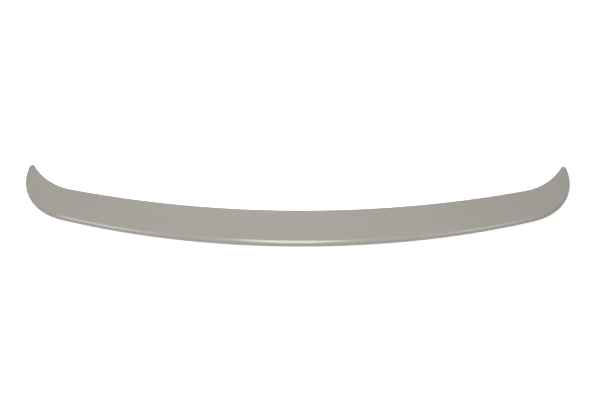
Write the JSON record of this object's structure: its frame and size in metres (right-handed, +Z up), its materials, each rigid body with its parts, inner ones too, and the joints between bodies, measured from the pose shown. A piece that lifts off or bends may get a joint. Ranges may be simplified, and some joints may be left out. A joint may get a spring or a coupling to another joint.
{
  "type": "trunk spoiler",
  "caption": "Low lip spoiler for a car's boot lid: bowed plastic moulding with a thin leading edge, a rounded raised trailing lip and ends swept forward into horns.",
  "frame": {"origin": "in the bonding face, on the centreline, midway along the centre section", "axes": "+X to the right along the span, +Y towards the front of the car, +Z up off the boot lid"},
  "size_m": [1.16, 0.21, 0.028],
  "materials": {
    "primed_plastic": "satin warm grey primer"
  },
  "bodies": {
    "root": {"spoiler_body": "primed_plastic"}
  },
  "joints": []
}
